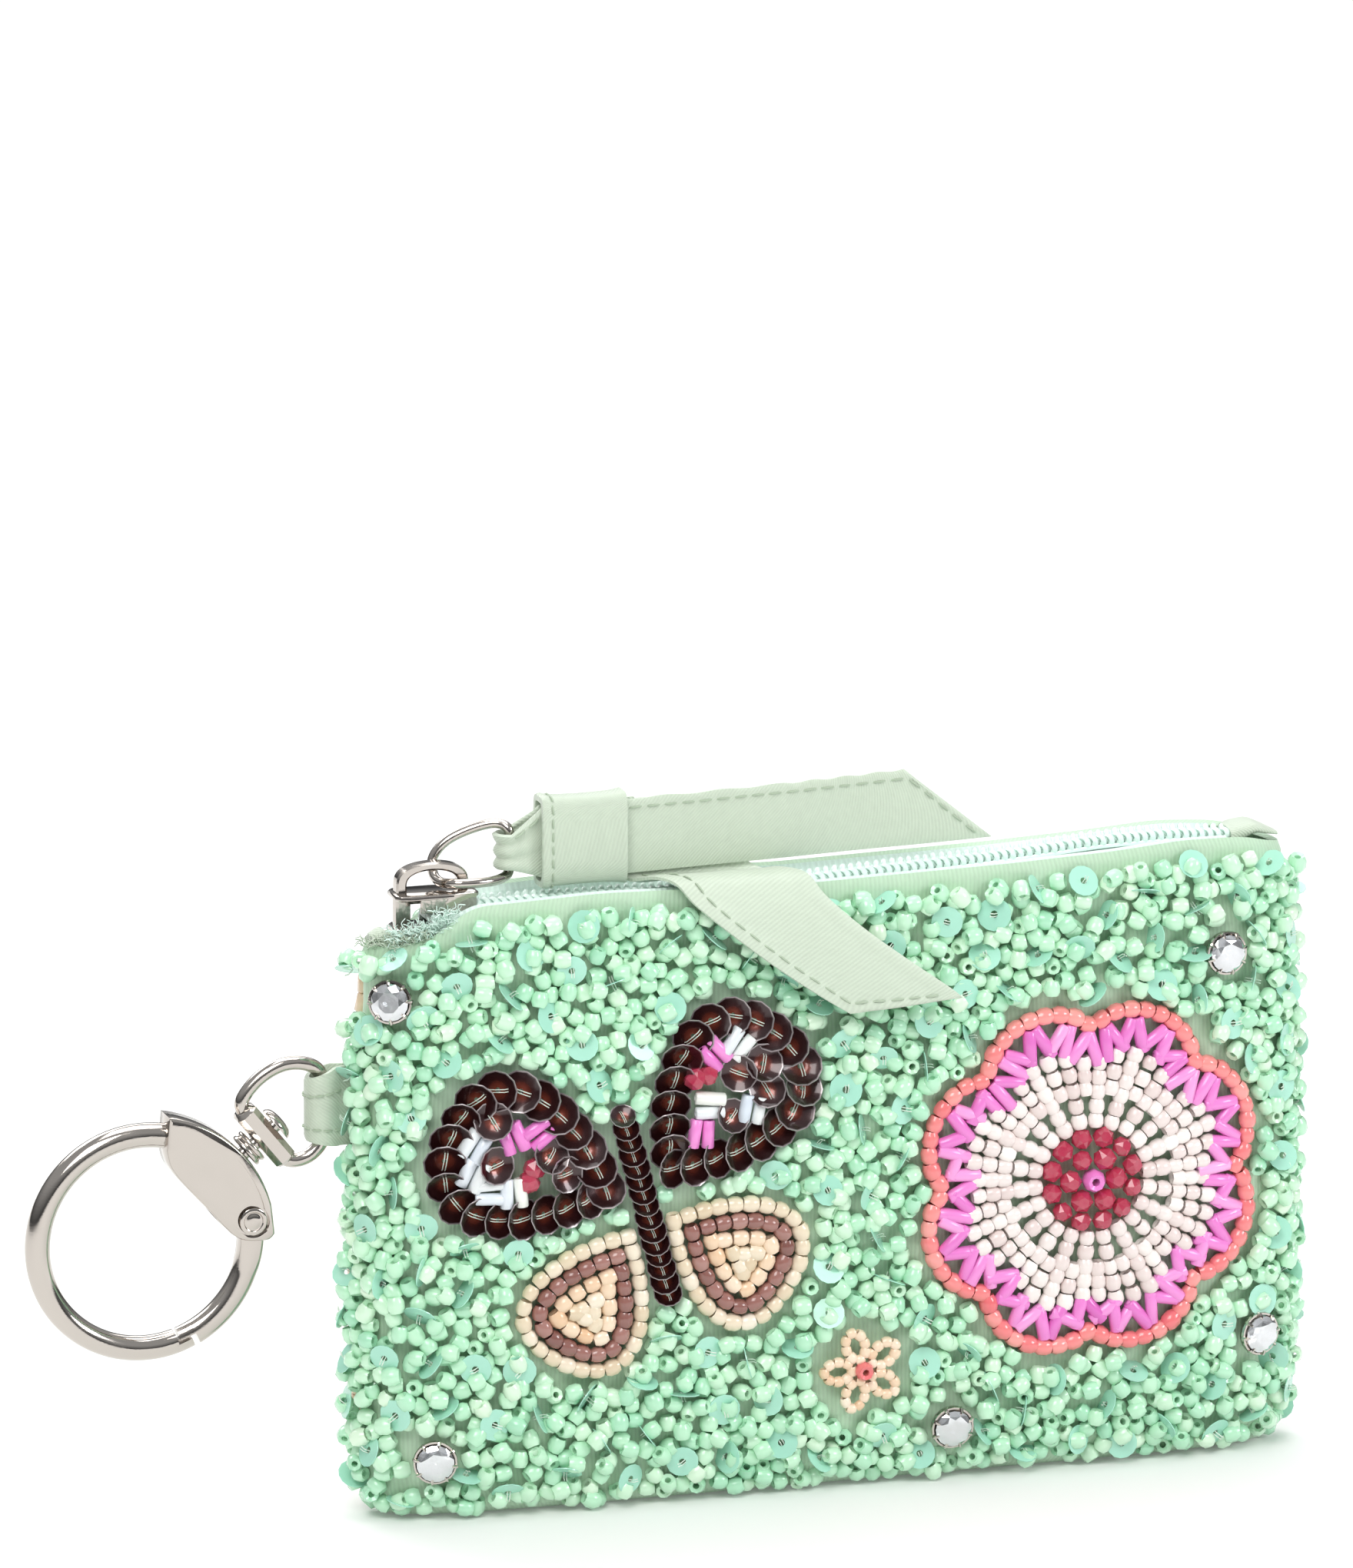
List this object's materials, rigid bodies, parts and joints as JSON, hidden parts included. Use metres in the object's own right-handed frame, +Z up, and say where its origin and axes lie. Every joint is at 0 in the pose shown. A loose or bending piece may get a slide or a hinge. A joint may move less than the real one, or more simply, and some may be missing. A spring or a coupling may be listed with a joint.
{
  "type": "beaded zip pouch with ring clasp",
  "caption": "Small rectangular beaded pouch with a coil zip, folded ribbon pull, embroidered butterfly and flower, set crystals, and a side tab with a swivelling sprung-gate ring clasp.",
  "frame": {"origin": "centre of the pouch's flat base, on the surface that it stands on", "axes": "+X along the pouch to its end without the clasp, -Y out of the beaded front, +Z up"},
  "size_m": [0.1582, 0.0223, 0.0866],
  "materials": {
    "mint_beads": "opaque glossy glass beads and aqua sequins sewn on satin",
    "plain_mint_beads": "opaque glossy glass beads sewn on satin",
    "brown_sequins": "cupped sequins, dark brown with a copper glow",
    "cream_beads": "opaque glossy glass beads",
    "blush_beads": "opaque glossy glass beads",
    "pink_bugles": "satin-glass bugle beads",
    "red_crystals": "faceted glass and small beads",
    "crystal": "clear brilliant-cut glass",
    "zip_cloth": "woven polyester tape",
    "zip_coil": "moulded nylon coil",
    "satin": "sage satin ribbon with a twill face",
    "nickel": "polished nickel plate on zinc alloy"
  },
  "bodies": {
    "pouch": {"front_panel": "mint_beads", "back_panel": "plain_mint_beads", "wing_upper_left": "brown_sequins", "wing_upper_right": "brown_sequins", "wing_lower_left": "cream_beads", "wing_lower_right": "cream_beads", "butterfly_body": "brown_sequins", "daisy_border": "pink_bugles", "daisy_petals": "blush_beads", "daisy_heart": "red_crystals", "bud": "cream_beads", "crystal_upper_left": "crystal", "crystal_upper_right": "crystal", "crystal_lower_right": "crystal", "crystal_lower_middle": "crystal", "crystal_lower_left": "crystal", "crystal_cup_upper_left": "nickel", "crystal_cup_upper_right": "nickel", "crystal_cup_lower_right": "nickel", "crystal_cup_lower_middle": "nickel", "crystal_cup_lower_left": "nickel", "zip_tape_front": "zip_cloth", "zip_tape_back": "zip_cloth", "zip_coil_front": "zip_coil", "zip_coil_back": "zip_coil", "zip_end_left": "satin", "zip_end_right": "satin", "zip_slider": "nickel", "pull_wire": "nickel", "pull_ribbon": "satin", "ribbon_keeper": "satin", "side_tab": "satin", "swivel_eye": "nickel"},
    "ring": {"swivel_post": "nickel", "clasp_ring": "nickel", "gate_pin": "nickel"},
    "gate": {"clasp_gate": "nickel"}
  },
  "joints": [
    {"name": "swivel", "type": "hinge", "parent": "pouch", "child": "ring", "pos_m": [-0.069, 0.0025, 0.047], "axis": [0.7782, 0, 0.628], "continuous": true},
    {"name": "gate_hinge", "type": "hinge", "parent": "ring", "child": "gate", "pos_m": [-0.07093, 0.0025, 0.03701], "axis": [0, 1, 0], "range_deg": [0, 25], "stiffness_Nm_per_rad": 0.01, "springref_deg": -11.46}
  ]
}
